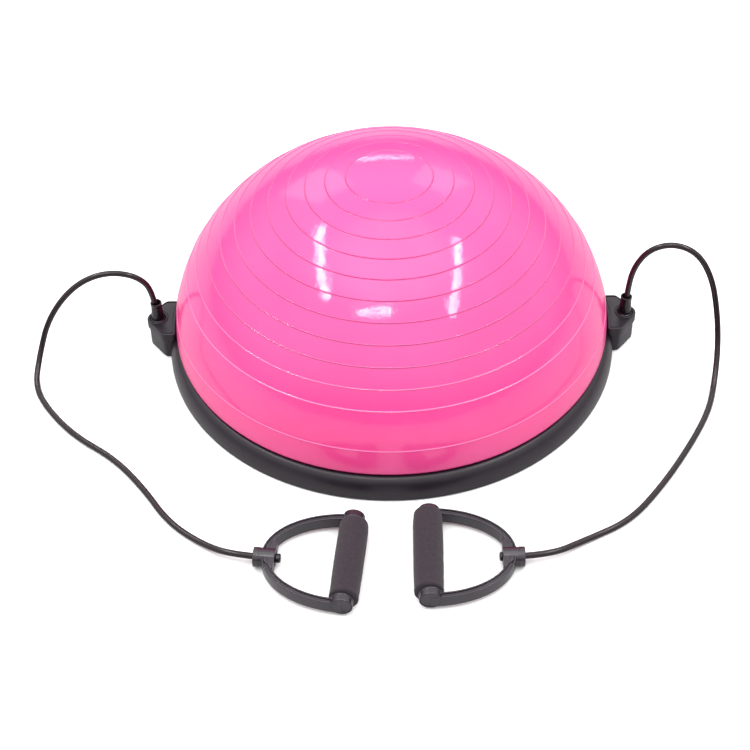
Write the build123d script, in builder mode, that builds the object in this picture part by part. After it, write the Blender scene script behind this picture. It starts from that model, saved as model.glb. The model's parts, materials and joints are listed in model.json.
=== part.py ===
"""Balance dome trainer: inflated half ball on a round base, two lugs, two resistance tubes with handles.

Millimetres, +Z up, origin on the floor under the middle of the base, front towards -Y, lugs on +X and -X.
"""

from build123d import *

import os
from math import cos, dist, hypot, radians, sin, tan

os.makedirs("parts", exist_ok=True)

# Driving sizes of the base and dome
BASE_R = 287.2
RIM_TOP = 31.6
LIP_R = 272.0
DOME_R = 277.0
DOME_TOP = 269.7
DOME_WIDEST = 38.2
DOME_FULLNESS = 0.514
SKIN = 2.5
GAP = 0.3

# Heights of the stacked layers, from the floor up
RIM_FOOT = 1.5
PLATE_FOOT = 2.5
PLATE_TOP = 12.0
FLOOR_TOP = 14.0
FLANGE_TOP = 17.0
BEAD_TOP = 19.0

# Radii of the clamped edge of the dome
WALL_R = LIP_R - 0.8
FLANGE_R = 280.5
BEAD_R = 277.5
SKIRT_R = 281.7
PLATE_R = 281.4

# Raised rings on the dome: how far the first lies from the top and how far apart they are, along the skin
RIB_START = 53.0
RIB_PITCH = 25.8
RIB_STEPS = [*range(11), 12]
RIB_RADIUS = 1.2
RIB_SUNK = 0.5

# Lugs and the tube's seat in them
SEAT_X = 302.0
LUG_TOP = 41.0
LUG_END_R = 14.0
LUG_HALF = 33.0
LUG_INNER_X = 268.0
LUG_BLOCK_X = 294.0
HOLE_R = 10.3
POCKET_R = 12.0
POCKET_TOP = 30.0
COVER_T = 3.0

# Resistance tube
TUBE_R = 3.8
BORE_R = 3.87
TUBE_START = 20.0

# D-handle, along its own axis from where the tube enters it
HUB_Z = 12.0
HUB_R = 11.2
HUB_LENGTH = 25.5
COLLAR_R = 11.6
COLLAR_T = 7.0
LEAD_IN = 24.0
GRIP_X = 109.0
GRIP_Z = 16.4
HANDLE_HALF = 67.0
ARCH_LENGTH = 99.5
STRAP_T = 8.0
STRAP_FOOT = 4.7
STRAP_H = 16.4
STRAP_BEVEL = 1.5
WEB_X = 18.0
WEB_HALF = 21.0
BOSS_R = 13.0
BOSS_LENGTH = 10.0
PIN_R = 5.0
PIN_CAP_R = 11.5
PIN_CAP_T = 1.8
PIN_REACH = 24.0
CAP_PLAY = 0.2
CORE_R = 11.0
FOAM_R = 16.3

# Round the base
SCREW_R = 274.8
SCREWS = 12
FOOT_R = 252.0
FOOT_WIDTH = 22.0
FOOT_TOP = 4.0

# Fits and broken edges
SNUG = 0.1
TURNING_FIT = 0.06
EDGE_BREAK = 1.0

# Where each tube enters its handle, which way the handle points from there and how far in the tube ends
HANDLES = {
    "left": {"entry": (-161.4, -379.3), "heading": -6.0, "tube_end": 30.0},
    "right": {"entry": (149.4, -384.0), "heading": 179.4, "tube_end": 27.6},
}

# Corners of each tube's route between its seat in the lug and the last turn before its handle
ROUTES = {
    "left": [
        (-302, 0, 84),
        (-321, -1, 114),
        (-361, -6, 125),
        (-402, -14, 109),
        (-436, -30, 70),
        (-451, -50, 25),
        (-455, -87, 4),
        (-432, -130, 4),
        (-393, -176, 4),
        (-340, -215, 4),
        (-300, -264, 4),
        (-266, -318, 4),
        (-225, -352, 4),
    ],
    "right": [
        (302, 0, 80),
        (308, -1, 120),
        (325, -3, 148),
        (353, -7, 159),
        (382, -15, 150),
        (401, -26, 120),
        (410, -42, 81),
        (414, -62, 37),
        (408, -97, 4),
        (394, -146, 4),
        (364, -203, 4),
        (322, -269, 4),
        (277, -325, 4),
        (224, -353, 4),
    ],
}


def export(piece, name):
    piece.part.label = name
    export_step(piece.part, f"parts/{name}.step")


def turned(outline, seat):
    """A solid turned about the seat plane's normal from its (radius, height) corners."""
    section = Plane(seat.origin, x_dir=seat.x_dir, z_dir=-seat.y_dir)
    with BuildPart() as piece:
        with BuildSketch(section):
            with BuildLine():
                Polyline(*outline, close=True)
            make_face()
        revolve(axis=Axis(seat.origin, seat.z_dir))
    return piece


def bezier(corners, t):
    s = 1 - t
    weights = (s**3, 3 * s * s * t, 3 * s * t * t, t**3)
    return tuple(sum(w * corner[i] for w, corner in zip(weights, corners)) for i in (0, 1))


def dome_corners(inset=0.0):
    """Control points of the dome's section, from the middle of its top down to its widest ring."""
    radius = DOME_R - inset
    top = DOME_TOP - inset
    rise = top - DOME_WIDEST
    return [
        (0, top),
        (DOME_FULLNESS * radius, top),
        (radius, DOME_WIDEST + DOME_FULLNESS * rise),
        (radius, DOME_WIDEST),
    ]


def dome_point(distance):
    """The point and outward direction on the dome's section at a distance from the top along the skin."""
    corners = dome_corners()
    steps = 2000
    here = corners[0]
    travelled = 0.0
    for step in range(1, steps + 1):
        there = bezier(corners, step / steps)
        travelled += dist(here, there)
        if travelled >= distance:
            break
        here = there
    along = (there[0] - here[0], there[1] - here[1])
    length = hypot(*along)
    return there, (-along[1] / length, along[0] / length)


# Moulded base plate, with its valve well, screw holes and the groove for the rubber foot
SCREW_HOLE_R = 2.1
SCREW_HEAD_R = 4.2
SCREW_HEAD_T = 2.6
WELL_R = 20.0
WELL_TOP = 6.5
VALVE_NECK_R = 8.0
PLATE_CHAMFER = 1.2

with BuildPart() as base_plate:
    with BuildSketch(Plane.XY.offset(PLATE_FOOT)):
        Circle(PLATE_R)
    extrude(amount=PLATE_TOP - PLATE_FOOT)
    chamfer(base_plate.edges().sort_by(Axis.Z)[0], PLATE_CHAMFER)
    with BuildSketch(Plane.XY.offset(PLATE_FOOT)):
        Circle(WELL_R)
    extrude(amount=WELL_TOP - PLATE_FOOT, mode=Mode.SUBTRACT)
    with BuildSketch(Plane.XY.offset(WELL_TOP)):
        Circle(VALVE_NECK_R + GAP)
    extrude(amount=PLATE_TOP - WELL_TOP, mode=Mode.SUBTRACT)
    with BuildSketch(Plane.XY.offset(PLATE_FOOT)):
        Circle(FOOT_R + SNUG)
        Circle(FOOT_R - FOOT_WIDTH - SNUG, mode=Mode.SUBTRACT)
    extrude(amount=FOOT_TOP - PLATE_FOOT, mode=Mode.SUBTRACT)
    with BuildSketch(Plane.XY.offset(PLATE_FOOT)):
        with PolarLocations(SCREW_R, SCREWS, start_angle=180 / SCREWS):
            Circle(SCREW_HEAD_R + GAP)
    extrude(amount=SCREW_HEAD_T, mode=Mode.SUBTRACT)
    with BuildSketch(Plane.XY.offset(PLATE_FOOT)):
        with PolarLocations(SCREW_R, SCREWS, start_angle=180 / SCREWS):
            Circle(SCREW_HOLE_R)
    extrude(amount=PLATE_TOP - PLATE_FOOT, mode=Mode.SUBTRACT)

# Flat rubber floor of the air bladder, clamped under the dome's flange
with BuildPart() as bladder_floor:
    with BuildSketch(Plane.XY.offset(PLATE_TOP)):
        Circle(FLANGE_R)
        Circle(VALVE_NECK_R + SNUG / 2, mode=Mode.SUBTRACT)
        with PolarLocations(SCREW_R, SCREWS, start_angle=180 / SCREWS):
            Circle(SCREW_HOLE_R, mode=Mode.SUBTRACT)
    extrude(amount=FLOOR_TOP - PLATE_TOP)

# Inflated skin with its clamped flange, edge bead, rolled foot and raised rings
ROLL_R = DOME_R - WALL_R

with BuildPart() as dome_skin:
    with BuildSketch(Plane.XZ):
        with BuildLine():
            Bezier(*dome_corners())
            outer_roll = RadiusArc((DOME_R, DOME_WIDEST), (WALL_R, DOME_WIDEST - ROLL_R), ROLL_R)
            Polyline(
                outer_roll @ 1,
                (WALL_R, FLANGE_TOP),
                (BEAD_R, FLANGE_TOP),
                (BEAD_R, BEAD_TOP),
                (FLANGE_R, BEAD_TOP),
                (FLANGE_R, FLOOR_TOP),
                (WALL_R - SKIN, FLOOR_TOP),
                (WALL_R - SKIN, DOME_WIDEST - ROLL_R + SKIN),
                (WALL_R, DOME_WIDEST - ROLL_R + SKIN),
            )
            RadiusArc(
                (WALL_R, DOME_WIDEST - ROLL_R + SKIN),
                (DOME_R - SKIN, DOME_WIDEST),
                SKIN - ROLL_R,
            )
            Bezier(*reversed(dome_corners(SKIN)))
            Line((0, DOME_TOP - SKIN), (0, DOME_TOP))
        make_face()
        for step in RIB_STEPS:
            (radius, height), (out_r, out_z) = dome_point(RIB_START + step * RIB_PITCH)
            with Locations((radius - RIB_SUNK * out_r, height - RIB_SUNK * out_z)):
                Circle(RIB_RADIUS)
    revolve(axis=Axis.Z)
    with BuildSketch(Plane.XY.offset(FLOOR_TOP)):
        with PolarLocations(SCREW_R, SCREWS, start_angle=180 / SCREWS):
            Circle(SCREW_HOLE_R)
    extrude(amount=FLANGE_TOP - FLOOR_TOP, mode=Mode.SUBTRACT)

# Black rim that clamps the dome to the plate, moulded in one with the two lugs
SCREW_TOP = 27.0
SHOULDER_Z = 8.0
SHOULDER_MIDDLE = (283.4, 23.0)
LIP_WIDTH = 2.5
DOME_CLEARANCE = 1.5

with BuildPart() as rim_ring:
    with BuildSketch(Plane.XZ):
        with BuildLine():
            ThreePointArc((BASE_R, SHOULDER_Z), SHOULDER_MIDDLE, (LIP_R + LIP_WIDTH, RIM_TOP))
            Polyline(
                (LIP_R + LIP_WIDTH, RIM_TOP),
                (LIP_R, RIM_TOP),
                (LIP_R, FLANGE_TOP),
                (BEAD_R - GAP, FLANGE_TOP),
                (BEAD_R - GAP, BEAD_TOP + GAP),
                (FLANGE_R + GAP, BEAD_TOP + GAP),
                (FLANGE_R + GAP, FLANGE_TOP),
                (SKIRT_R, FLANGE_TOP),
                (SKIRT_R, RIM_FOOT),
                (BASE_R - EDGE_BREAK, RIM_FOOT),
                (BASE_R, RIM_FOOT + EDGE_BREAK),
                (BASE_R, SHOULDER_Z),
            )
        make_face()
    revolve(axis=Axis.Z)
    for side in (-1, 1):
        with BuildSketch(Plane.XY.offset(RIM_FOOT)):
            with Locations((side * SEAT_X, 0)):
                Circle(LUG_END_R)
            with Locations((side * (SKIRT_R + LUG_BLOCK_X) / 2, 0)):
                Rectangle(LUG_BLOCK_X - SKIRT_R, 2 * LUG_HALF)
            make_hull()
        extrude(amount=FLANGE_TOP - RIM_FOOT)
        with BuildSketch(Plane.XY.offset(FLANGE_TOP)):
            with Locations((side * SEAT_X, 0)):
                Circle(LUG_END_R)
            with Locations((side * (LUG_INNER_X + LUG_BLOCK_X) / 2, 0)):
                Rectangle(LUG_BLOCK_X - LUG_INNER_X, 2 * LUG_HALF)
            make_hull()
        extrude(amount=LUG_TOP - FLANGE_TOP)
    # The lugs follow the dome's side, which bulges over the lip, and clear the clamped bead and plate
    with BuildSketch(Plane.XY.offset(FLANGE_TOP)):
        Circle(LIP_R)
    extrude(amount=RIM_TOP - FLANGE_TOP, mode=Mode.SUBTRACT)
    with BuildSketch(Plane.XY.offset(RIM_TOP)):
        Circle(DOME_R + DOME_CLEARANCE)
    extrude(amount=LUG_TOP - RIM_TOP, mode=Mode.SUBTRACT)
    with BuildSketch(Plane.XY.offset(FLANGE_TOP)):
        Circle(FLANGE_R + GAP)
        Circle(BEAD_R - GAP, mode=Mode.SUBTRACT)
    extrude(amount=BEAD_TOP + GAP - FLANGE_TOP, mode=Mode.SUBTRACT)
    with BuildSketch(Plane.XY.offset(RIM_FOOT)):
        Circle(SKIRT_R)
    extrude(amount=FLANGE_TOP - RIM_FOOT, mode=Mode.SUBTRACT)
    top_edges = rim_ring.edges().group_by(Axis.Z)[-1]
    chamfer(top_edges.filter_by(lambda edge: abs(edge.center().X) > SEAT_X), EDGE_BREAK)
    with BuildSketch(Plane.XY.offset(RIM_FOOT)):
        with Locations((-SEAT_X, 0), (SEAT_X, 0)):
            Circle(POCKET_R)
    extrude(amount=POCKET_TOP - RIM_FOOT, mode=Mode.SUBTRACT)
    with BuildSketch(Plane.XY.offset(POCKET_TOP)):
        with Locations((-SEAT_X, 0), (SEAT_X, 0)):
            Circle(HOLE_R)
    extrude(amount=LUG_TOP - POCKET_TOP, mode=Mode.SUBTRACT)
    with BuildSketch(Plane.XY.offset(FLANGE_TOP)):
        with PolarLocations(SCREW_R, SCREWS, start_angle=180 / SCREWS):
            Circle(SCREW_HOLE_R)
    extrude(amount=SCREW_TOP + GAP - FLANGE_TOP, mode=Mode.SUBTRACT)

# Screws through the plate and the clamped flange into the rim
HEAD_SUNK = 0.2
SOCKET_R = 2.0
SOCKET_TOP = PLATE_FOOT + 1.6

with BuildPart() as rim_screws:
    with BuildSketch(Plane.XY.offset(PLATE_FOOT + HEAD_SUNK)):
        with PolarLocations(SCREW_R, SCREWS, start_angle=180 / SCREWS):
            Circle(SCREW_HEAD_R)
            RegularPolygon(SOCKET_R, 6, mode=Mode.SUBTRACT)
    extrude(amount=SCREW_HEAD_T - HEAD_SUNK)
    with BuildSketch(Plane.XY.offset(SOCKET_TOP)):
        with PolarLocations(SCREW_R, SCREWS, start_angle=180 / SCREWS):
            Circle(SCREW_HOLE_R - SNUG)
    extrude(amount=SCREW_TOP - SOCKET_TOP)

# Ring of non-slip rubber the base stands on
FOOT_CHAMFER = 0.6

with BuildPart() as foot_ring:
    with BuildSketch(Plane.XY):
        Circle(FOOT_R)
        Circle(FOOT_R - FOOT_WIDTH, mode=Mode.SUBTRACT)
    extrude(amount=FOOT_TOP)
    chamfer(foot_ring.edges().group_by(Axis.Z)[0], FOOT_CHAMFER)

# Air valve in the middle of the bladder floor, and the plug pushed into it from below
VALVE_FLANGE_R = 15.0
VALVE_BORE_R = 4.5
PLUG_STEM_R = 4.42
PLUG_HEAD_R = 7.5
PLUG_HEAD_T = 2.0
PLUG_BEVEL = 0.6
VALVE_FOOT = 5.4
VALVE_EDGE_TOP = FLOOR_TOP + 1.0
VALVE_TOP = FLOOR_TOP + 2.5
PLUG_FOOT = VALVE_FOOT - PLUG_HEAD_T
PLUG_TOP = 15.0
CENTRE = Plane.XY

valve_body = turned(
    [
        (VALVE_BORE_R, VALVE_FOOT),
        (VALVE_NECK_R, VALVE_FOOT),
        (VALVE_NECK_R, FLOOR_TOP),
        (VALVE_FLANGE_R, FLOOR_TOP),
        (VALVE_FLANGE_R, VALVE_EDGE_TOP),
        (VALVE_NECK_R, VALVE_TOP),
        (VALVE_BORE_R, VALVE_TOP),
    ],
    CENTRE,
)
valve_plug = turned(
    [
        (0, PLUG_FOOT),
        (PLUG_HEAD_R - PLUG_BEVEL, PLUG_FOOT),
        (PLUG_HEAD_R, PLUG_FOOT + PLUG_BEVEL),
        (PLUG_HEAD_R, VALVE_FOOT - SNUG),
        (PLUG_STEM_R, VALVE_FOOT - SNUG),
        (PLUG_STEM_R, PLUG_TOP - EDGE_BREAK),
        (PLUG_STEM_R - EDGE_BREAK, PLUG_TOP),
        (0, PLUG_TOP),
    ],
    CENTRE,
)

for piece, name in (
    (base_plate, "base_plate"),
    (bladder_floor, "bladder_floor"),
    (dome_skin, "dome_skin"),
    (rim_ring, "rim_ring"),
    (rim_screws, "rim_screws"),
    (foot_ring, "foot_ring"),
    (valve_body, "valve_body"),
    (valve_plug, "valve_plug"),
):
    export(piece, name)

# Tube anchor, ferrule and cover, turned about the hole in the lug
ANCHOR_FOOT = 17.0
ANCHOR_TOP = POCKET_TOP - GAP
ANCHOR_R = POCKET_R - GAP
ANCHOR_BEVEL = 1.5
FERRULE_TOP = 67.5
FLARE = 15.0
MOUTH_R = 5.9
BEAD_HEIGHT = 3.0
BEAD_SWELL = 0.4
NECK_R = 7.3
SEAT_RING_R = 9.6
SEAT_RING_FOOT = LUG_TOP - 4.0
SEAT_RING_BEVEL = 0.5
ANCHOR_OUTLINE = [
    (0, ANCHOR_FOOT),
    (ANCHOR_R - ANCHOR_BEVEL, ANCHOR_FOOT),
    (ANCHOR_R, ANCHOR_FOOT + ANCHOR_BEVEL),
    (ANCHOR_R, ANCHOR_TOP),
    (BORE_R, ANCHOR_TOP),
    (BORE_R, TUBE_START),
    (0, TUBE_START),
]
FERRULE_OUTLINE = [
    (BORE_R, POCKET_TOP),
    (NECK_R, POCKET_TOP),
    (NECK_R, SEAT_RING_FOOT),
    (SEAT_RING_R, SEAT_RING_FOOT + SEAT_RING_BEVEL),
    (SEAT_RING_R, LUG_TOP - SEAT_RING_BEVEL),
    (SEAT_RING_R - SEAT_RING_BEVEL, LUG_TOP + SEAT_RING_BEVEL),
    (NECK_R - BEAD_SWELL, FERRULE_TOP - BEAD_HEIGHT - 2 * SEAT_RING_BEVEL),
    (NECK_R, FERRULE_TOP - BEAD_HEIGHT),
    (NECK_R, FERRULE_TOP),
    (MOUTH_R, FERRULE_TOP),
    (BORE_R, FERRULE_TOP - FLARE),
]
COVER_OUTLINE = [
    (0, RIM_FOOT + SNUG),
    (POCKET_R - SNUG, RIM_FOOT + SNUG),
    (POCKET_R - SNUG, RIM_FOOT + COVER_T),
    (0, RIM_FOOT + COVER_T),
]

# Stop on the end of the tube inside the handle
STOP_R = 5.4
STOP_T = 1.6

# Rolling grip on the pins between the handle's bosses, as (radius, distance from its middle)
GRIP_HALF = HANDLE_HALF - BOSS_LENGTH - 0.5
CORE_BORE_R = PIN_R + TURNING_FIT
CORE_OUTLINE = [
    (CORE_BORE_R, -GRIP_HALF),
    (CORE_R, -GRIP_HALF),
    (CORE_R, GRIP_HALF),
    (CORE_BORE_R, GRIP_HALF),
]
FOAM_HALF = GRIP_HALF - GAP
FOAM_ROUND = 3.0
FOAM_BEVEL = 0.9
FOAM_EDGE = [
    (FOAM_R, FOAM_HALF - FOAM_ROUND),
    (FOAM_R - FOAM_BEVEL, FOAM_HALF - FOAM_BEVEL),
    (FOAM_R - FOAM_ROUND, FOAM_HALF),
]
FOAM_OUTLINE = [
    (CORE_R, -FOAM_HALF),
    *[(radius, -along) for radius, along in reversed(FOAM_EDGE)],
    *FOAM_EDGE,
    (CORE_R, FOAM_HALF),
]


def route_radii(points):
    """Bend radii that use most of the shorter run beside each corner."""
    radii = []
    for before, corner, after in zip(points, points[1:], points[2:]):
        run_in = Vector(*corner) - Vector(*before)
        run_out = Vector(*after) - Vector(*corner)
        half_turn = radians(run_in.get_angle(run_out)) / 2
        radii.append(0.45 * min(run_in.length, run_out.length) / tan(half_turn))
    return radii


def make_tube(points):
    with BuildPart() as tube:
        with BuildLine() as path:
            FilletPolyline(*points, radius=route_radii(points))
        with BuildSketch(Plane(path.line @ 0, z_dir=path.line % 0)):
            Circle(TUBE_R)
        sweep(path=path.line)
    return tube, path.wire().length


def make_bow(frame, hub_plane, grip_plane):
    """Moulded arch, hub and end bosses of a handle."""
    inner_half = HANDLE_HALF - BOSS_LENGTH
    with BuildPart() as bow:
        with BuildSketch(frame.offset(STRAP_FOOT)):
            with Locations((GRIP_X, 0)):
                Ellipse(ARCH_LENGTH, HANDLE_HALF)
                Ellipse(ARCH_LENGTH - STRAP_T, HANDLE_HALF - STRAP_T, mode=Mode.SUBTRACT)
            with Locations((GRIP_X + ARCH_LENGTH / 2, 0)):
                Rectangle(ARCH_LENGTH, 2 * HANDLE_HALF + 1, mode=Mode.SUBTRACT)
            with Locations(((WEB_X + HUB_LENGTH) / 2, 0)):
                Rectangle(HUB_LENGTH - WEB_X, 2 * WEB_HALF)
        extrude(amount=STRAP_H)
        chamfer(bow.edges().group_by(Axis.Z)[0] + bow.edges().group_by(Axis.Z)[-1], STRAP_BEVEL)
        with BuildSketch(hub_plane):
            Circle(HUB_R)
        extrude(amount=HUB_LENGTH)
        with BuildSketch(hub_plane):
            Circle(COLLAR_R)
        extrude(amount=COLLAR_T)
        for end in (-1, 1):
            with BuildSketch(grip_plane.offset(end * inner_half)):
                Circle(BOSS_R)
            extrude(amount=end * BOSS_LENGTH)
            with BuildSketch(grip_plane.offset(end * HANDLE_HALF)):
                Circle(PIN_CAP_R + CAP_PLAY)
            extrude(amount=-end * PIN_CAP_T, mode=Mode.SUBTRACT)
        with BuildSketch(grip_plane.offset(-HANDLE_HALF)):
            Circle(PIN_R)
        extrude(amount=2 * HANDLE_HALF, mode=Mode.SUBTRACT)
        with BuildSketch(hub_plane):
            Circle(BORE_R)
        extrude(amount=HUB_LENGTH, mode=Mode.SUBTRACT)
    return bow


def stop_outline(tube_end):
    """Corners of the stop's cup as (radius, distance along the handle's axis)."""
    stop_end = tube_end + STOP_T
    return [
        (BORE_R, HUB_LENGTH + GAP),
        (STOP_R, HUB_LENGTH + GAP),
        (STOP_R, stop_end - EDGE_BREAK),
        (STOP_R - EDGE_BREAK, stop_end),
        (0, stop_end),
        (0, tube_end),
        (BORE_R, tube_end),
    ]


def make_pins(grip_plane):
    """The two capped pins the grip turns on."""
    with BuildPart() as pins:
        for end in (-1, 1):
            with BuildSketch(grip_plane.offset(end * (HANDLE_HALF - PIN_CAP_T))):
                Circle(PIN_CAP_R)
            extrude(amount=end * (PIN_CAP_T - GAP))
            with BuildSketch(grip_plane.offset(end * (HANDLE_HALF - PIN_CAP_T))):
                Circle(PIN_R)
            extrude(amount=-end * PIN_REACH)
    return pins


for side, sign in (("left", -1), ("right", 1)):
    seat = Plane((sign * SEAT_X, 0, 0))
    export(turned(ANCHOR_OUTLINE, seat), f"{side}_anchor")
    export(turned(FERRULE_OUTLINE, seat), f"{side}_ferrule")
    export(turned(COVER_OUTLINE, seat), f"{side}_lug_cover")

    entry_x, entry_y = HANDLES[side]["entry"]
    heading = radians(HANDLES[side]["heading"])
    frame = Plane((entry_x, entry_y, 0), x_dir=(cos(heading), sin(heading), 0), z_dir=(0, 0, 1))
    lead_in = tuple(frame.from_local_coords((-LEAD_IN, 0, HUB_Z)))
    tube_end = HANDLES[side]["tube_end"]
    last_point = tuple(frame.from_local_coords((tube_end, 0, HUB_Z)))
    route = [(sign * SEAT_X, 0, TUBE_START), *ROUTES[side], lead_in, last_point]
    tube, length = make_tube(route)
    section_area = tube.part.volume / length
    print(side, "tube radii", [round(radius, 1) for radius in route_radii(route)])
    print(side, "tube length", round(length, 1), "section", round(section_area, 2))
    export(tube, f"{side}_tube")

    hub_plane = Plane(frame.from_local_coords((0, 0, HUB_Z)), x_dir=frame.y_dir, z_dir=frame.x_dir)
    grip_plane = Plane(frame.from_local_coords((GRIP_X, 0, GRIP_Z)), x_dir=frame.x_dir, z_dir=frame.y_dir)
    export(turned(stop_outline(tube_end), hub_plane), f"{side}_stop")
    export(make_bow(frame, hub_plane, grip_plane), f"{side}_bow")
    export(make_pins(grip_plane), f"{side}_pins")
    export(turned(CORE_OUTLINE, grip_plane), f"{side}_grip_core")
    export(turned(FOAM_OUTLINE, grip_plane), f"{side}_grip_foam")
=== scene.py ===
"""Looks of the balance dome trainer: camera, light, detailed pieces and materials, in the CAD's frame.

Metres, +Z up, origin on the floor under the middle of the base, front towards -Y. Outlines in millimetres.
"""

import json
from math import acos, atan2, cos, dist, hypot, pi, radians, sin, sqrt

import bmesh
import bpy
from mathutils import Matrix, Vector, noise


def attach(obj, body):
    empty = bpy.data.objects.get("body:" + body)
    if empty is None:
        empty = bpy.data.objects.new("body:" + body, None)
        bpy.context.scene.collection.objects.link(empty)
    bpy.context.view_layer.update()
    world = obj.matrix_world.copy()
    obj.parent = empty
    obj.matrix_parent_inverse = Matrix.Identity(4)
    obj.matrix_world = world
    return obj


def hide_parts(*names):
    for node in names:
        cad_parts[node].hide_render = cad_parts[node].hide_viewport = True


MM = 0.001
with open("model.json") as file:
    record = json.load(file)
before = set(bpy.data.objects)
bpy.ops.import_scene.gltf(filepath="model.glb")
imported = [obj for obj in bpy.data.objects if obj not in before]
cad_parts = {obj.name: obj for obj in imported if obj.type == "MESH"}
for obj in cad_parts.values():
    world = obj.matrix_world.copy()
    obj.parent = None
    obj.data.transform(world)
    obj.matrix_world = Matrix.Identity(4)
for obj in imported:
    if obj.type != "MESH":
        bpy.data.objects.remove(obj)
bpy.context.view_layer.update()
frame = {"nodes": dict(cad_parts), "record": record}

# Base and dome, in millimetres, as in the CAD model
BASE_R = 287.2
RIM_TOP = 31.6
LIP_R = 272.0
LIP_WIDTH = 2.5
SHOULDER_Z = 8.0
DOME_R = 277.0
DOME_TOP = 269.7
DOME_WIDEST = 38.2
DOME_FULLNESS = 0.514
WALL_R = LIP_R - 0.8
SKIN = 2.5
RIM_FOOT = 1.5
SKIRT_R = 281.7
FLANGE_TOP = 17.0

# Raised rings on the dome, at distances from its top along the skin
RIB_START = 53.0
RIB_PITCH = 25.8
RIB_STEPS = [*range(11), 12]
RIB_HEIGHT = 0.7
RIB_HALF_WIDTH = 1.15
DOME_SEGMENTS = 256

# Lugs and the sleeves in them
SEAT_X = 302.0
LUG_TOP = 41.0
LUG_END_R = 14.0
LUG_HALF = 33.0
LUG_CORNER_X = -8.0
LUG_INNER_R = DOME_R + 1.5
HOLE_R = 10.3
LUG_RING_R = 12.6
SLEEVE_FOOT = 30.0
HOLE_FLOOR = SLEEVE_FOOT - 0.15
SLEEVE_TOP = 67.5
NECK_R = 7.3
SEAT_RING_R = 9.6
MOUTH_R = 5.9
FLARE = 15.0

# Tubes
TUBE_R = 3.8
BORE_R = 3.87
TUBE_START = 20.0
STOP_R = 5.4
STOP_T = 1.6
LEAD_IN = 24.0

# Handles: hub, arch, bosses, caps and foam sleeve
HUB_Z = 12.0
HUB_R = 11.2
HUB_LENGTH = 25.5
COLLAR_R = 11.6
COLLAR_T = 7.0
GRIP_X = 109.0
GRIP_Z = 16.4
HANDLE_HALF = 67.0
ARCH_LENGTH = 99.5
STRAP_T = 8.0
STRAP_FOOT = 4.7
STRAP_H = 16.4
GROOVE_HALF = 1.7
GROOVE_DEPTH = 2.4
WEB_X = 14.0
WEB_HALF = 21.0
BOSS_R = 13.0
BOSS_LENGTH = 10.0
CAP_R = 11.5
CAP_T = 1.8
PIN_R = 5.0
PIN_REACH = 24.0
FOAM_R = 17.5
FOAM_SAG = 1.5
FOAM_CREEP = {"left": 0.0, "right": 5.5}
FOAM_DENT = 0.35
DENT_LENGTH = 14.0
CORE_R = 11.0
GRIP_HALF = HANDLE_HALF - BOSS_LENGTH - 0.8

# Where each tube enters its handle, which way the handle points in degrees, and how far the tube reaches in
HANDLES = {
    "left": {"entry": (-161.4, -379.3), "heading": -6.0, "tube_end": 30.0},
    "right": {"entry": (149.4, -384.0), "heading": 179.4, "tube_end": 27.6},
}
# Points in metres that each tube's curve is drawn towards, from its sleeve to its handle
ROUTES = {
    "left": [
        (-0.302, 0, 0.084),
        (-0.321, -0.001, 0.114),
        (-0.361, -0.006, 0.125),
        (-0.402, -0.014, 0.109),
        (-0.436, -0.030, 0.070),
        (-0.451, -0.050, 0.025),
        (-0.455, -0.087, 0.004),
        (-0.432, -0.130, 0.004),
        (-0.393, -0.176, 0.004),
        (-0.340, -0.215, 0.004),
        (-0.300, -0.264, 0.004),
        (-0.266, -0.318, 0.004),
        (-0.225, -0.352, 0.004),
    ],
    "right": [
        (0.302, 0, 0.080),
        (0.308, -0.001, 0.120),
        (0.325, -0.003, 0.148),
        (0.353, -0.007, 0.159),
        (0.382, -0.015, 0.150),
        (0.401, -0.026, 0.120),
        (0.410, -0.042, 0.081),
        (0.414, -0.062, 0.037),
        (0.408, -0.097, 0.004),
        (0.394, -0.146, 0.004),
        (0.364, -0.203, 0.004),
        (0.322, -0.269, 0.004),
        (0.277, -0.325, 0.004),
        (0.224, -0.353, 0.004),
    ],
}


def handle_frame(side):
    """Handle coordinates in millimetres: x along the handle from where the tube enters it, z up."""
    entry_x, entry_y = HANDLES[side]["entry"]
    turn = Matrix.Rotation(radians(HANDLES[side]["heading"]), 4, "Z")
    return Matrix.Scale(MM, 4) @ Matrix.Translation((entry_x, entry_y, 0)) @ turn


# Camera

CAMERA_AT = (0, -1.6408, 1.5167)
CAMERA_ASIDE = 0.79
CAMERA_DIP = 43.99
CAMERA_ROLL = -1.31
LENS = 81.79
SENSOR = 36.0


def make_camera():
    """Stands in front of the object and looks down at it. Angles in degrees, lens and sensor in mm."""
    camera = bpy.data.objects.new("camera", bpy.data.cameras.new("camera"))
    bpy.context.collection.objects.link(camera)
    aside = Matrix.Rotation(radians(CAMERA_ASIDE), 4, "Z")
    down = Matrix.Rotation(radians(90 - CAMERA_DIP), 4, "X")
    roll = Matrix.Rotation(radians(CAMERA_ROLL), 4, "Z")
    camera.matrix_world = Matrix.Translation(CAMERA_AT) @ aside @ down @ roll
    camera.data.lens = LENS
    camera.data.sensor_width = SENSOR
    bpy.context.scene.camera = camera


make_camera()


# Material nodes


def add_node(tree, kind, inputs=None, **settings):
    node = tree.nodes.new(kind)
    for name, value in settings.items():
        setattr(node, name, value)
    for name, value in (inputs or {}).items():
        if isinstance(value, bpy.types.NodeSocket):
            tree.links.new(value, node.inputs[name])
        else:
            node.inputs[name].default_value = value
    return node


def new_material(name):
    material = bpy.data.materials.new(name)
    material.use_nodes = True
    tree = material.node_tree
    return material, tree, tree.nodes["Principled BSDF"]


def set_inputs(tree, shader, inputs):
    for name, value in inputs.items():
        if isinstance(value, bpy.types.NodeSocket):
            tree.links.new(value, shader.inputs[name])
        else:
            shader.inputs[name].default_value = value


def object_coordinates(tree):
    return add_node(tree, "ShaderNodeTexCoord").outputs["Object"]


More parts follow.
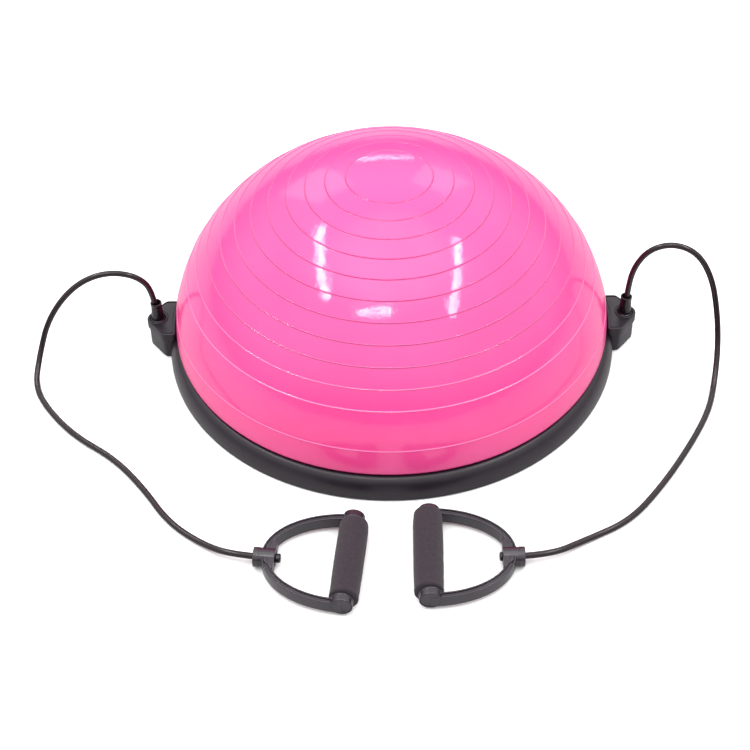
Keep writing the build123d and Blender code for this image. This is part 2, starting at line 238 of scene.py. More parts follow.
def noise_value(tree, scale, detail=2.0, roughness=0.5):
    """Noise from 0 to 1 with features 1/scale metres across."""
    inputs = {"Vector": object_coordinates(tree), "Scale": scale, "Detail": detail, "Roughness": roughness}
    return add_node(tree, "ShaderNodeTexNoise", inputs).outputs["Fac"]


def ranged(tree, value, low, high, start=0.3, end=0.7):
    inputs = {"Value": value, "From Min": start, "From Max": end, "To Min": low, "To Max": high}
    return add_node(tree, "ShaderNodeMapRange", inputs).outputs["Result"]


def mixed(tree, factor, first, second):
    node = add_node(tree, "ShaderNodeMix", data_type="RGBA", clamp_result=False)
    tree.links.new(factor, node.inputs[0])
    for socket, colour in ((node.inputs[6], first), (node.inputs[7], second)):
        if isinstance(colour, bpy.types.NodeSocket):
            tree.links.new(colour, socket)
        else:
            socket.default_value = (*colour, 1.0)
    return node.outputs[2]


def bumped(tree, height, distance, normal=None, strength=1.0):
    inputs = {"Height": height, "Distance": distance, "Strength": strength}
    if normal is not None:
        inputs["Normal"] = normal
    return add_node(tree, "ShaderNodeBump", inputs).outputs["Normal"]


def moulded_plastic(name, colour, worn, roughness, gloss):
    """Moulded plastic: fine spark-eroded grain, cloudy gloss and faint handling marks."""
    material, tree, shader = new_material(name)
    clouds = noise_value(tree, 35.0, detail=5.0, roughness=0.6)
    marks = noise_value(tree, 160.0, detail=6.0, roughness=0.7)
    grain = noise_value(tree, 1500.0, detail=1.0)
    set_inputs(tree, shader, {
        "Base Color": mixed(tree, ranged(tree, clouds, 0.0, 1.0), colour, worn),
        "Roughness": ranged(tree, marks, roughness - 0.03, roughness + 0.05),
        "Specular IOR Level": gloss,
        "Normal": bumped(tree, grain, 0.000012),
    })
    return material


VINYL_PINKS = (1.0, 0.068, 0.315), (1.0, 0.084, 0.350)
# Painted light on the rings: a pale painted highlight low down and a dark painted shade higher up, blended
# between two heights in metres
RIB_PAINTED_HIGHLIGHT = (1.0, 0.24, 0.52)
RIB_PAINTED_SHADE = (0.40, 0.050, 0.22)
PAINTED_HIGHLIGHT_BELOW, PAINTED_SHADE_ABOVE = 0.125, 0.165


def dome_vinyl(name):
    """Glossy inflated vinyl: pearly tint, dimples and fine pebbles, and a little light coming through.

    The rings are painted light: pale as a painted highlight low down on the dome and dark as painted shade
    on its upper part.
    """
    material, tree, shader = new_material(name)
    pearl = noise_value(tree, 9.0, detail=3.0)
    swells = noise_value(tree, 22.0, detail=1.0)
    dimples = noise_value(tree, 150.0, detail=2.0)
    pebbles = noise_value(tree, 520.0, detail=2.0, roughness=0.6)
    wave = bumped(tree, dimples, 0.00012, bumped(tree, swells, 0.0004))
    normal = bumped(tree, pebbles, 0.00005, wave)
    facing = add_node(tree, "ShaderNodeLayerWeight", {"Blend": 0.5}).outputs["Facing"]
    skin = mixed(tree, ranged(tree, pearl, 0.0, 1.0), *VINYL_PINKS)
    # The rings' tint is painted light, pale highlight below and dark shade above, laid on where the skin
    # rises into a ring
    ring = add_node(tree, "ShaderNodeAttribute", attribute_name="ring").outputs["Fac"]
    height = add_node(tree, "ShaderNodeSeparateXYZ", {"Vector": object_coordinates(tree)}).outputs["Z"]
    upper = ranged(tree, height, 0.0, 1.0, PAINTED_HIGHLIGHT_BELOW, PAINTED_SHADE_ABOVE)
    painted_rib_light = mixed(tree, upper, RIB_PAINTED_HIGHLIGHT, RIB_PAINTED_SHADE)
    set_inputs(tree, shader, {
        "Base Color": mixed(tree, ranged(tree, ring, 0.0, 1.0, 0.1, 0.8), skin, painted_rib_light),
        "Roughness": ranged(tree, pebbles, 0.30, 0.40),
        "Specular IOR Level": 0.1,
        "Transmission Weight": 0.22,
        "IOR": 1.45,
        "Coat Weight": ranged(tree, facing, 0.85, 0.30, 0.35, 0.85),
        "Coat Roughness": 0.04,
        "Normal": normal,
        "Coat Normal": normal,
    })
    return material


def rubber(name, colour, dusty, roughness, sheen):
    """Smooth rubber with cloudy gloss, and a dusty bloom where sheen is given."""
    material, tree, shader = new_material(name)
    clouds = noise_value(tree, 60.0, detail=5.0, roughness=0.65)
    fine = noise_value(tree, 1400.0, detail=2.0)
    set_inputs(tree, shader, {
        "Base Color": mixed(tree, ranged(tree, clouds, 0.0, 1.0), colour, dusty),
        "Roughness": ranged(tree, clouds, roughness - 0.06, roughness + 0.08),
        "Specular IOR Level": 0.42,
        "Sheen Weight": sheen,
        "Normal": bumped(tree, fine, 0.00004),
    })
    return material


def closed_cell_foam(name):
    """Matte foam with fine cells, faint mottling and the dull bloom of its skin."""
    material, tree, shader = new_material(name)
    vector = object_coordinates(tree)
    cells = add_node(tree, "ShaderNodeTexVoronoi", {"Vector": vector, "Scale": 900.0}).outputs["Distance"]
    mottle = noise_value(tree, 120.0, detail=6.0, roughness=0.7)
    dents = noise_value(tree, 300.0, detail=3.0)
    tone = mixed(tree, ranged(tree, mottle, 0.0, 1.0), (0.032, 0.022, 0.030), (0.052, 0.037, 0.048))
    pitted = ranged(tree, cells, 0.0, 1.0, 0.1, 0.6)
    set_inputs(tree, shader, {
        "Base Color": mixed(tree, pitted, tone, (0.020, 0.014, 0.019)),
        "Roughness": ranged(tree, mottle, 0.86, 0.97),
        "Specular IOR Level": 0.2,
        "Sheen Weight": 0.12,
        "Sheen Roughness": 0.6,
        "Normal": bumped(tree, cells, 0.00022, bumped(tree, dents, 0.00025)),
    })
    return material


def screw_steel(name):
    """Bright steel with fine scratches."""
    material, tree, shader = new_material(name)
    scratches = noise_value(tree, 2500.0, detail=4.0)
    bare = ranged(tree, scratches, 0.0, 1.0)
    set_inputs(tree, shader, {
        "Base Color": mixed(tree, bare, (0.50, 0.50, 0.52), (0.62, 0.62, 0.63)),
        "Metallic": 1.0,
        "Roughness": ranged(tree, scratches, 0.28, 0.42),
        "Normal": bumped(tree, scratches, 0.00002),
    })
    return material


# Colour, lighter colour of its worn places, roughness and gloss of each moulded plastic
PLASTICS = {
    "base_plastic": ((0.022, 0.022, 0.024), (0.032, 0.031, 0.033), 0.55, 0.5),
    "rim_plastic": ((0.010, 0.006, 0.011), (0.015, 0.010, 0.016), 0.34, 0.4),
    "plug_plastic": ((0.78, 0.78, 0.76), (0.84, 0.84, 0.83), 0.35, 0.5),
    "fitting_plastic": ((0.004, 0.002, 0.004), (0.007, 0.004, 0.007), 0.24, 0.5),
    "handle_plastic": ((0.015, 0.010, 0.016), (0.024, 0.018, 0.026), 0.20, 0.6),
    "core_plastic": ((0.06, 0.06, 0.06), (0.08, 0.08, 0.08), 0.50, 0.5),
}
# Colour, dusty colour, roughness and sheen of each rubber
RUBBERS = {
    "bladder_rubber": ((0.85, 0.06, 0.24), (0.90, 0.09, 0.30), 0.50, 0.0),
    "foot_rubber": ((0.018, 0.018, 0.018), (0.030, 0.029, 0.028), 0.75, 0.1),
    "valve_rubber": ((0.025, 0.024, 0.024), (0.040, 0.038, 0.038), 0.60, 0.0),
    "tube_rubber": ((0.008, 0.003, 0.005), (0.013, 0.005, 0.008), 0.18, 0.0),
}
MATERIALS = {
    **{name: moulded_plastic(name, *look) for name, look in PLASTICS.items()},
    **{name: rubber(name, *look) for name, look in RUBBERS.items()},
    "dome_vinyl": dome_vinyl("dome_vinyl"),
    "screw_steel": screw_steel("screw_steel"),
    "grip_foam": closed_cell_foam("grip_foam"),
}


# Mesh building


def add_piece(name, work, body, slot, replaced, sharp=35.0):
    """The finished mesh as a piece of the object, smooth but for its sharp edges."""
    bmesh.ops.recalc_face_normals(work, faces=work.faces)
    for face in work.faces:
        face.smooth = True
    for edge in work.edges:
        if len(edge.link_faces) == 2:
            edge.smooth = edge.calc_face_angle() < radians(sharp)
    mesh = bpy.data.meshes.new(name)
    work.to_mesh(mesh)
    work.free()
    mesh.materials.append(MATERIALS[slot])
    piece = bpy.data.objects.new(name, mesh)
    bpy.context.collection.objects.link(piece)
    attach(piece, body)
    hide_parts(replaced)
    return piece


def rounded(corners, closed=False, steps=4):
    """Points along an outline whose corners are (x, y) or (x, y, fillet length)."""
    points = []
    count = len(corners)
    for index, corner in enumerate(corners):
        here = Vector(corner[:2])
        on_end = not closed and index in (0, count - 1)
        if len(corner) < 3 or on_end:
            points.append(tuple(here))
            continue
        before = Vector(corners[index - 1][:2])
        after = Vector(corners[(index + 1) % count][:2])
        start = here + (before - here).normalized() * min(corner[2], 0.49 * (before - here).length)
        end = here + (after - here).normalized() * min(corner[2], 0.49 * (after - here).length)
        for step in range(steps + 1):
            t = step / steps
            points.append(tuple(start.lerp(here, t).lerp(here.lerp(end, t), t)))
    return points


def bridge(work, first, second):
    """Faces between two closed rows of vertices, either of which may be a single point."""
    count = max(len(first), len(second))
    for index in range(count):
        after = (index + 1) % count
        corners = [first[index % len(first)]]
        if len(first) > 1:
            corners.append(first[after])
        if len(second) > 1:
            corners.append(second[after])
        corners.append(second[index % len(second)])
        work.faces.new(corners)


def add_rows(work, rows, place, closed):
    """Skins rows of points, with a row of one point as a pole."""
    made = [[work.verts.new(place @ Vector(point)) for point in row] for row in rows]
    pairs = list(zip(made, made[1:]))
    if closed:
        pairs.append((made[-1], made[0]))
    for first, second in pairs:
        bridge(work, first, second)


def add_turned(work, outline, place, segments=48, closed=False, wobble=None):
    """Turns (radius, height) points about z. An open outline starts and ends on the axis."""
    rows = []
    for radius, height in outline:
        if radius < 1e-6:
            rows.append([(0, 0, height)])
            continue
        row = []
        for index in range(segments):
            angle = 2 * pi * index / segments
            out = radius + (wobble(radius, angle, height) if wobble else 0.0)
            row.append((out * cos(angle), out * sin(angle), height))
        rows.append(row)
    add_rows(work, rows, place, closed)


def capped(work, rows, place):
    """Skins rows of points and closes both ends with flat faces."""
    made = [[work.verts.new(place @ Vector(point)) for point in row] for row in rows]
    for first, second in zip(made, made[1:]):
        bridge(work, first, second)
    work.faces.new(made[0])
    work.faces.new(made[-1])


MILLIMETRES = Matrix.Scale(MM, 4)
ALONG_X = Matrix.Rotation(pi / 2, 4, "Y")
ALONG_Y = Matrix.Rotation(-pi / 2, 4, "X")


# Tubes


def make_tube(side):
    sign = -1 if side == "left" else 1
    start = (sign * SEAT_X * MM, 0, TUBE_START * MM)
    ends = [handle_frame(side) @ Vector((x, 0, HUB_Z)) for x in (-LEAD_IN, HANDLES[side]["tube_end"])]
    points = [start, *ROUTES[side], *ends]
    curve = bpy.data.curves.new(f"{side}_tube_line", "CURVE")
    curve.dimensions = "3D"
    spline = curve.splines.new("NURBS")
    spline.points.add(len(points) - 1)
    for knot, point in zip(spline.points, points):
        knot.co = (*point, 1.0)
    spline.order_u = 3
    spline.use_endpoint_u = True
    spline.resolution_u = 24
    curve.bevel_depth = TUBE_R * MM
    curve.bevel_resolution = 8
    curve.use_fill_caps = True
    curve.materials.append(MATERIALS["tube_rubber"])
    tube = bpy.data.objects.new(f"{side}_resistance_tube", curve)
    bpy.context.collection.objects.link(tube)
    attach(tube, f"{side}_band")
    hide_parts(f"{side}_tube")


for side in HANDLES:
    make_tube(side)


# Dome


def bezier(corners, t):
    s = 1 - t
    weights = (s**3, 3 * s * s * t, 3 * s * t * t, t**3)
    return tuple(sum(w * corner[i] for w, corner in zip(weights, corners)) for i in (0, 1))


def dome_corners(inset=0.0):
    """Control points of the dome's section, from the middle of its top down to its widest ring."""
    radius = DOME_R - inset
    top = DOME_TOP - inset
    rise = top - DOME_WIDEST
    return [
        (0, top),
        (DOME_FULLNESS * radius, top),
        (radius, DOME_WIDEST + DOME_FULLNESS * rise),
        (radius, DOME_WIDEST),
    ]


def dome_section(distances):
    """Points of the skin's outside at distances from the top along it, raised where the rings are."""
    corners = dome_corners()
    steps = 4000
    fine = [bezier(corners, step / steps) for step in range(steps + 1)]
    travelled = [0.0]
    for here, there in zip(fine, fine[1:]):
        travelled.append(travelled[-1] + dist(here, there))
    points = []
    step = 0
    for distance in distances:
        while step < steps - 1 and travelled[step + 1] < distance:
            step += 1
        along = (fine[step + 1][0] - fine[step][0], fine[step + 1][1] - fine[step][1])
        length = hypot(*along)
        share = min(1.0, (distance - travelled[step]) / length)
        rise = rib_rise(distance)
        radius = fine[step][0] + share * along[0] - rise * along[1] / length
        height = fine[step][1] + share * along[1] + rise * along[0] / length
        points.append((radius, height))
    return points, travelled[-1]


def rib_rise(distance):
    """How far the skin rises into a ring at a distance from the dome's top."""
    nearest = min(abs(distance - RIB_START - step * RIB_PITCH) for step in RIB_STEPS)
    if nearest >= RIB_HALF_WIDTH:
        return 0.0
    return RIB_HEIGHT * 0.5 * (1 + cos(pi * nearest / RIB_HALF_WIDTH))


def arc(centre, radius, start, end, steps):
    """Points of an arc between two angles in degrees."""
    angles = [radians(start + (end - start) * step / steps) for step in range(steps + 1)]
    return [(centre[0] + radius * cos(a), centre[1] + radius * sin(a)) for a in angles]


def mark_rings(work, distances):
    """Stores how far each point of the skin rises into a ring, for the rings' painted highlight and painted
    shade in the material.
    """
    ring = work.verts.layers.float.new("ring")
    work.verts.ensure_lookup_table()
    for row, distance in enumerate(distances):
        first = 1 + row * DOME_SEGMENTS
        for index in range(first, first + DOME_SEGMENTS):
            work.verts[index][ring] = rib_rise(distance) / RIB_HEIGHT


def make_dome():
    """The skin as a closed shell, with its points close together across each ring."""
    whole = dome_section([0.0])[1]
    plain_step = RIB_PITCH / 4
    distances = {plain_step * step for step in range(1, int(whole / plain_step) + 1)}
    for step in RIB_STEPS:
        middle = RIB_START + step * RIB_PITCH
        distances = {d for d in distances if abs(d - middle) > 1.6 * RIB_HALF_WIDTH}
        distances |= {middle + RIB_HALF_WIDTH * offset / 4 for offset in range(-4, 5)}
        distances |= {middle + RIB_HALF_WIDTH * offset for offset in (-1.5, -1.15, 1.15, 1.5)}
    distances = sorted(d for d in distances if d < whole)
    outside = dome_section(distances)[0]
    roll_r = DOME_R - WALL_R
    outline = [
        (0.0, DOME_TOP),
        *outside,
        *arc((WALL_R, DOME_WIDEST), roll_r, 0, -90, 8),
        (WALL_R, FLANGE_TOP),
        (WALL_R - SKIN, FLANGE_TOP),
        (WALL_R - SKIN, DOME_WIDEST - roll_r + SKIN),
        *arc((WALL_R, DOME_WIDEST), roll_r - SKIN, -90, 0, 6),
        *[bezier(dome_corners(SKIN), 1 - step / 48) for step in range(1, 48)],
        (0.0, DOME_TOP - SKIN),
    ]
    work = bmesh.new()
    add_turned(work, outline, MILLIMETRES, segments=DOME_SEGMENTS)
    mark_rings(work, distances)
    return add_piece("inflated_dome", work, "base", "dome_vinyl", "dome_skin")


make_dome()


# Rim and lugs

LUG_EDGE = 1.2
LUG_STEP = 1.9
LUG_PLATE_T = 12.0
LUG_SEGMENTS = 192
LUG_CORNERS = 16


def make_rim():
    """The upright edge, its rounded shoulder, and the lip against the dome."""
    run = BASE_R - LIP_R - LIP_WIDTH
    rise = RIM_TOP - SHOULDER_Z
    shoulder = [radians(9 * step) for step in range(1, 10)]
    outline = [
        *rounded([(BASE_R - 1.0, RIM_FOOT), (BASE_R, RIM_FOOT, 1.4), (BASE_R, SHOULDER_Z)]),
        *[(BASE_R - run * (1 - cos(turn)), SHOULDER_Z + rise * sin(turn)) for turn in shoulder],
        *rounded([(LIP_R + LIP_WIDTH, RIM_TOP), (LIP_R, RIM_TOP, 0.9), (LIP_R, FLANGE_TOP)]),
        (SKIRT_R, FLANGE_TOP),
        (SKIRT_R, RIM_FOOT),
    ]
    work = bmesh.new()
    add_turned(work, outline, MILLIMETRES, segments=256, closed=True)
    return add_piece("base_rim", work, "base", "rim_plastic", "rim_ring")


def lug_reach(angle, inset, inner_r=LUG_INNER_R):
    """How far the lug's outline lies from the middle of its hole, in a direction, set in by a distance.

    The outline is the nearest of the straight sides, the round end and the dome, blended at their corners.
    """
    corner = hypot(LUG_CORNER_X, LUG_HALF)
    tangent = atan2(LUG_HALF, LUG_CORNER_X) - acos(LUG_END_R / corner)
    turn = abs((angle + pi) % (2 * pi) - pi)
    limits = [(LUG_HALF - inset) / max(abs(sin(angle)), 1e-6)]
    if turn <= tangent:
        limits.append(LUG_END_R - inset)
    elif turn - tangent < pi / 2:
        limits.append((LUG_END_R - inset) / cos(turn - tangent))
    toward = SEAT_X * cos(angle)
    chord = toward**2 - SEAT_X**2 + (inner_r + inset) ** 2
    if toward < 0 and chord > 0:
        limits.append(-toward - sqrt(chord))
    return sum(limit**-LUG_CORNERS for limit in limits) ** (-1 / LUG_CORNERS)


def make_lug(side):
    """The lug's walls and top: a groove round its panel and another round the ring about the hole.

    Walls are (set in by, height, radius of the side at the dome), the panel's groove (set in by, rise) and
    the ring's groove (radius, rise).
    """
    walls = [
        (LUG_STEP + 1.0, RIM_FOOT, SKIRT_R),
        (LUG_STEP + 0.3, RIM_FOOT + 0.3, SKIRT_R),
        (LUG_STEP, RIM_FOOT + 1.2, SKIRT_R),
        (LUG_STEP, FLANGE_TOP, SKIRT_R),
        (LUG_STEP, FLANGE_TOP + 1.0, LUG_INNER_R),
        (LUG_STEP, LUG_TOP - LUG_PLATE_T, LUG_INNER_R),
        (0.4, LUG_TOP - LUG_PLATE_T + 0.1, LUG_INNER_R),
        (0.0, LUG_TOP - LUG_PLATE_T + 0.6, LUG_INNER_R),
        (0.0, LUG_TOP - 1.3, LUG_INNER_R),
        (0.35, LUG_TOP - 0.4, LUG_INNER_R),
        (LUG_EDGE, LUG_TOP, LUG_INNER_R),
    ]
    panel = [(2.4, 0.0), (2.7, -1.0), (4.0, -1.0), (4.4, -0.3), (5.2, -0.2)]
    ring = [
        (13.9, -0.2),
        (13.5, -0.9),
        (LUG_RING_R + 0.2, -0.9),
        (LUG_RING_R, 0.1),
        (LUG_RING_R - 0.6, 0.5),
    ]
    bore = [(HOLE_R + 0.7, LUG_TOP + 0.5), (HOLE_R, LUG_TOP), (HOLE_R, HOLE_FLOOR)]
    angles = [2 * pi * index / LUG_SEGMENTS for index in range(LUG_SEGMENTS)]
    columns = []
    for angle in angles:
        edge = lug_reach(angle, LUG_EDGE)
        room = max(0.02, min(1.0, (edge - ring[0][0]) / 6.0))
        column = [(lug_reach(angle, inset, inner_r), height) for inset, height, inner_r in walls]
        column += [(edge - room * (inset - LUG_EDGE), LUG_TOP + room * rise) for inset, rise in panel]
        for radius, rise in ring:
            column.append((min(radius, column[-1][0] - 0.05), LUG_TOP + rise))
        columns.append(column + bore)
    rows = [[(0, 0, RIM_FOOT)]]
    for level in zip(*columns):
        row = []
        for angle, (reach, height) in zip(angles, level):
            row.append((reach * cos(angle), reach * sin(angle), height))
        rows.append(row)
    rows.append([(0, 0, HOLE_FLOOR)])
    place = MILLIMETRES @ Matrix.Translation((SEAT_X, 0, 0))
    if side == "left":
        place = Matrix.Rotation(pi, 4, "Z") @ place
    work = bmesh.new()
    add_rows(work, rows, place, closed=False)
    return add_piece(f"{side}_lug", work, "base", "rim_plastic", "rim_ring")


def make_sleeve(side):
    """Tapered sleeve the tube comes out of, with its ring in the lug's hole and a bead round its mouth."""
    sign = -1 if side == "left" else 1
    outline = rounded([
        (BORE_R, SLEEVE_FOOT),
        (NECK_R, SLEEVE_FOOT),
        (NECK_R, LUG_TOP - 4.0),
        (SEAT_RING_R, LUG_TOP - 3.5, 0.4),
        (SEAT_RING_R, LUG_TOP, 0.9),
        (NECK_R + 0.8, LUG_TOP + 0.6, 0.8),
        (NECK_R - 0.5, SLEEVE_TOP - 4.5, 0.8),
        (NECK_R, SLEEVE_TOP - 3.6, 0.6),
        (NECK_R, SLEEVE_TOP, 0.7),
        (MOUTH_R, SLEEVE_TOP, 0.4),
        (BORE_R, SLEEVE_TOP - FLARE),
    ], closed=True)
    work = bmesh.new()
    add_turned(work, outline, MILLIMETRES @ Matrix.Translation((sign * SEAT_X, 0, 0)), closed=True)
    return add_piece(f"{side}_sleeve", work, f"{side}_band", "fitting_plastic", f"{side}_ferrule")


make_rim()
for side in HANDLES:
    make_lug(side)
    make_sleeve(side)


# Handles


def strap_section():
    """The arch's section as (outward, height): rounded edges, and a groove along its top."""
    half_t, half_h = STRAP_T / 2, STRAP_H / 2
    return rounded([
        (-half_t, half_h, 1.2),
        (-half_t, -half_h, 1.6),
        (half_t, -half_h, 2.0),
        (half_t, half_h, 1.6),
        (GROOVE_HALF + 0.3, half_h, 0.5),
        (GROOVE_HALF, half_h - GROOVE_DEPTH, 0.6),
        (-GROOVE_HALF, half_h - GROOVE_DEPTH, 0.6),
        (-GROOVE_HALF - 0.3, half_h, 0.5),
    ], closed=True)


def add_arch(work, place):
    """The half oval from one boss round to the other."""
    section = strap_section()
    middle = STRAP_FOOT + STRAP_H / 2
    steps = 72
    rows = []
    for step in range(steps + 1):
        angle = pi / 2 + pi * step / steps
        across, along = HANDLE_HALF - STRAP_T / 2, ARCH_LENGTH - STRAP_T / 2
        point = Vector((GRIP_X + along * cos(angle), across * sin(angle), middle))
        outward = Vector((across * cos(angle), along * sin(angle), 0)).normalized()
        rows.append([point + outward * out + Vector((0, 0, up)) for out, up in section])
    capped(work, rows, place)


def add_web(work, place):
    """The flat wall between the arch and the hub's inner end."""
    top, foot = STRAP_FOOT + STRAP_H, STRAP_FOOT
    rows = []
    for x, half, inset in [
        (WEB_X, 12.0, 0),
        (HUB_LENGTH - 1.2, WEB_HALF + 1.0, 0),
        (HUB_LENGTH - 0.4, WEB_HALF + 1.3, 0.3),
        (HUB_LENGTH, WEB_HALF + 1.5, 1.0),
    ]:
        low, high, fillet = foot + inset, top - inset, 1.2
        corners = [(-half, high, fillet), (-half, low, fillet), (half, low, fillet), (half, high, fillet)]
        rows.append([(x, across, up) for across, up in rounded(corners, closed=True)])
    capped(work, rows, place)


def add_hub(work, place):
    """The round hub the tube runs into, with its thicker collar."""
    outline = rounded([
        (BORE_R, 1.2),
        (BORE_R + 1.0, 0, 0.4),
        (COLLAR_R, 0, 1.0),
        (COLLAR_R, COLLAR_T, 0.8),
        (HUB_R, COLLAR_T + 0.3, 0.2),
        (HUB_R, HUB_LENGTH, 1.2),
        (BORE_R, HUB_LENGTH),
    ], closed=True)
    seat = place @ Matrix.Translation((0, 0, HUB_Z)) @ ALONG_X
    add_turned(work, outline, seat, segments=64, closed=True)


def add_boss(work, place, end):
    """The round end of the arch, with a bead beside the foam and a seat for the cap."""
    inner = HANDLE_HALF - BOSS_LENGTH
    outline = rounded([
        (0, inner),
        (BOSS_R + 0.7, inner, 0.7),
        (BOSS_R + 0.7, inner + 2.2, 0.6),
        (BOSS_R, inner + 2.6, 0.3),
        (BOSS_R, HANDLE_HALF, 1.4),
        (CAP_R + 0.35, HANDLE_HALF, 0.3),
        (CAP_R + 0.2, HANDLE_HALF - CAP_T),
        (0, HANDLE_HALF - CAP_T),
    ])
    seat = place @ Matrix.Translation((GRIP_X, 0, GRIP_Z)) @ ALONG_Y
    add_turned(work, [(radius, end * height) for radius, height in outline], seat)


def make_handle(side):
    place = handle_frame(side)
    work = bmesh.new()
    add_arch(work, place)
    add_web(work, place)
    add_hub(work, place)
    for end in (-1, 1):
        add_boss(work, place, end)
    add_piece(f"{side}_handle_bow", work, f"{side}_handle", "handle_plastic", f"{side}_bow")


def make_caps(side):
    """The pins that hold the grip, with their dished caps."""
    seat = handle_frame(side) @ Matrix.Translation((GRIP_X, 0, GRIP_Z)) @ ALONG_Y
    outline = rounded([
        (0, HANDLE_HALF - CAP_T - PIN_REACH),
        (PIN_R, HANDLE_HALF - CAP_T - PIN_REACH, 0.8),
        (PIN_R, HANDLE_HALF - CAP_T),
        (CAP_R, HANDLE_HALF - CAP_T),
        (CAP_R, HANDLE_HALF - 0.3, 0.8),
        (CAP_R - 2.2, HANDLE_HALF - 0.3, 0.4),
        (CAP_R - 2.8, HANDLE_HALF - 0.8, 0.4),
        (0, HANDLE_HALF - 0.8),
    ])
    work = bmesh.new()
    for end in (-1, 1):
        add_turned(work, [(radius, end * height) for radius, height in outline], seat)
    add_piece(f"{side}_end_caps", work, f"{side}_handle", "handle_plastic", f"{side}_pins")


def make_foam(side):
    """Foam sleeve pressed flat on the floor. The right one has crept over its far boss."""
    seat = handle_frame(side) @ Matrix.Translation((GRIP_X + FOAM_SAG, 0, GRIP_Z)) @ ALONG_Y
    far = 1 if side == "left" else -1

    def wobble(radius, angle, height):
        """Shallow dents, and the flat underside on the floor."""
        spot = Vector((cos(angle) * 1.5, sin(angle) * 1.5, height / DENT_LENGTH))
        dent = FOAM_DENT * abs(noise.noise(spot)) if radius > BOSS_R else 0.0
        floor = (GRIP_Z - 0.1) / max(sin(angle), 0.1)
        return min(radius - dent, floor) - radius

    near_end, far_end = -GRIP_HALF, GRIP_HALF + FOAM_CREEP[side]
    steps = 40

    # A little thicker towards the far end, and crowned
    middle = []
    for step in range(1, steps):
        share = step / steps
        along = (near_end + 4) * (1 - share) + (far_end - 8) * share
        middle.append((FOAM_R + 0.5 * (share - 0.6) - 0.5 * (2 * share - 1) ** 2, along))
    bore = CORE_R + 0.05
    near_edge = rounded([(bore, near_end), (FOAM_R - 0.6, near_end, 2.6), (FOAM_R - 0.5, near_end + 4)])
    far_corners = [(FOAM_R - 0.5, far_end - 8), (FOAM_R - 0.8, far_end, 6.5), (bore, far_end)]
    outline = [*near_edge, *middle, *rounded(far_corners, steps=8)]
    outline = [(radius, far * along) for radius, along in outline]
    work = bmesh.new()
    add_turned(work, outline, seat, segments=64, closed=True, wobble=wobble)
    name, replaced = f"{side}_foam_sleeve", f"{side}_grip_foam"
    add_piece(name, work, f"{side}_grip", "grip_foam", replaced, sharp=60.0)


def make_stop(side):
    """The knob on the tube's end."""
    seat = handle_frame(side) @ Matrix.Translation((0, 0, HUB_Z)) @ ALONG_X
    end = HANDLES[side]["tube_end"] + STOP_T
    outline = rounded([
        (0, HUB_LENGTH + 0.3),
        (STOP_R, HUB_LENGTH + 0.3, 0.5),
        (STOP_R, end - 1.2, 1.0),
        (STOP_R - 1.6, end, 1.2),
        (0, end),
    ])
    work = bmesh.new()
    add_turned(work, outline, seat)
    add_piece(f"{side}_tube_stop", work, f"{side}_band", "fitting_plastic", f"{side}_stop")


for side in HANDLES:
    make_handle(side)
    make_caps(side)
    make_foam(side)
    make_stop(side)


# CAD nodes that keep their shape get the finished materials
for part in frame["record"]["subparts"]:
    node = frame["nodes"][part["node"]]
    for index in range(len(node.data.materials)):
        node.data.materials[index] = MATERIALS[part["material_slot"]]


# Floor, light and backdrop


def seen_by_camera(tree, otherwise, seen):
    """One colour for the camera's view of the backdrop and another for its light and reflections."""
    direct = add_node(tree, "ShaderNodeLightPath").outputs["Is Camera Ray"]
    return mixed(tree, direct, otherwise, seen)


SIDE_LIFT = 0.28


def make_floor():
    work = bmesh.new()
    bmesh.ops.create_grid(work, x_segments=1, y_segments=1, size=40.0)
    mesh = bpy.data.meshes.new("floor")
    work.to_mesh(mesh)
    work.free()
    material, tree, shader = new_material("pale_floor")
    tone = seen_by_camera(tree, (0.55, 0.55, 0.55), (0.95, 0.95, 0.95))
    set_inputs(tree, shader, {"Base Color": tone, "Roughness": 0.9, "Specular IOR Level": 0.0})
    mesh.materials.append(material)
    floor = bpy.data.objects.new("floor", mesh)
    bpy.context.collection.objects.link(floor)


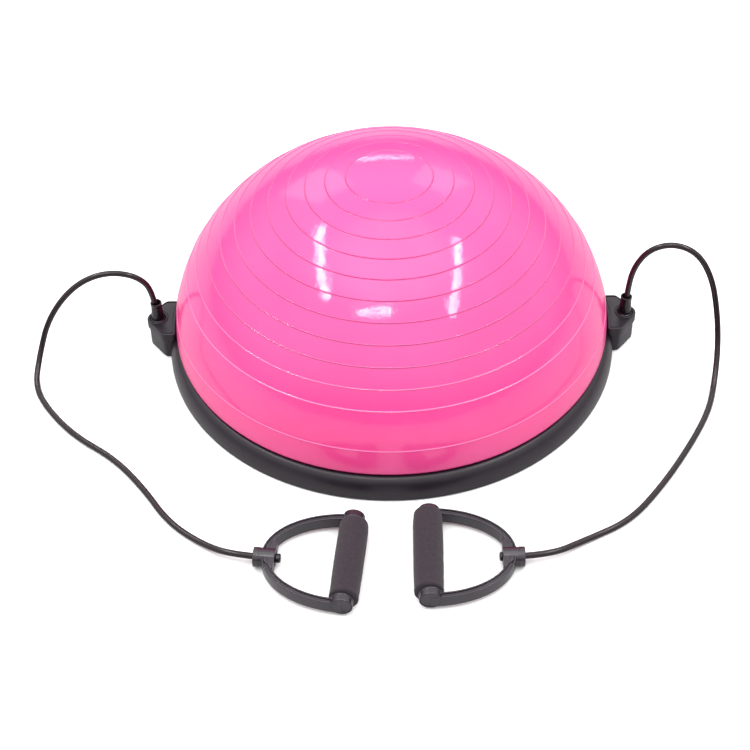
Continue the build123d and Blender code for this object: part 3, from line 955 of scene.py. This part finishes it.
def add_softbox(name, location, size, watts, target=(0, 0, 0.15)):
    light = bpy.data.lights.new(name, "AREA")
    light.shape = "RECTANGLE"
    light.size, light.size_y = size
    light.energy = watts
    lamp = bpy.data.objects.new(name, light)
    lamp.location = location
    away = Vector(location) - Vector(target)
    lamp.rotation_euler = away.to_track_quat("Z", "Y").to_euler()
    lamp.visible_camera = False
    bpy.context.collection.objects.link(lamp)


def step_up(tree, value, start, end):
    """A smooth step from 0 to 1."""
    inputs = {"Value": value, "From Min": start, "From Max": end}
    node = add_node(tree, "ShaderNodeMapRange", inputs, interpolation_type="SMOOTHSTEP")
    return node.outputs["Result"]


def make_world():
    """Bright overhead and at the sides, dim round the horizon, and plain white behind the object."""
    world = bpy.data.worlds.new("studio")
    world.use_nodes = True
    tree = world.node_tree
    direction = add_node(tree, "ShaderNodeTexCoord").outputs["Generated"]
    axes = add_node(tree, "ShaderNodeSeparateXYZ", {"Vector": direction}).outputs
    height = axes["Z"]
    aside = add_node(tree, "ShaderNodeMath", {0: axes["X"]}, operation="ABSOLUTE").outputs["Value"]
    lifted = add_node(tree, "ShaderNodeMath", {0: aside, 1: SIDE_LIFT, 2: height}, operation="MULTIPLY_ADD")
    above = step_up(tree, lifted.outputs["Value"], 0.12, 0.75)
    low_sky = mixed(tree, above, (0.05, 0.05, 0.05), (1.5, 1.5, 1.5))
    sky = mixed(tree, step_up(tree, height, 0.86, 0.97), low_sky, (3.0, 3.0, 3.0))
    backdrop = seen_by_camera(tree, sky, (1.0, 1.0, 1.0))
    tree.links.new(backdrop, tree.nodes["Background"].inputs["Color"])
    bpy.context.scene.world = world


make_floor()
make_world()
add_softbox("strip_left", (-1.29, 0.10, 2.25), (1.7, 0.11), 17, target=(0, 0.10, 0.15))
add_softbox("strip_right", (1.25, -0.35, 2.25), (1.65, 0.10), 16, target=(0, -0.45, 0.15))
add_softbox("strip_front", (-0.35, -1.17, 2.25), (0.75, 0.10), 6, target=(-0.35, 0, 0.15))
add_softbox("strip_back", (-0.08, 3.0, 1.50), (0.95, 0.06), 4)
add_softbox("fill_back_left", (-1.2, 2.25, 1.7), (0.8, 1.3), 4)
add_softbox("fill_back_right", (0.9, 2.3, 1.95), (0.8, 1.0), 3)
bpy.context.scene.view_settings.view_transform = "Standard"
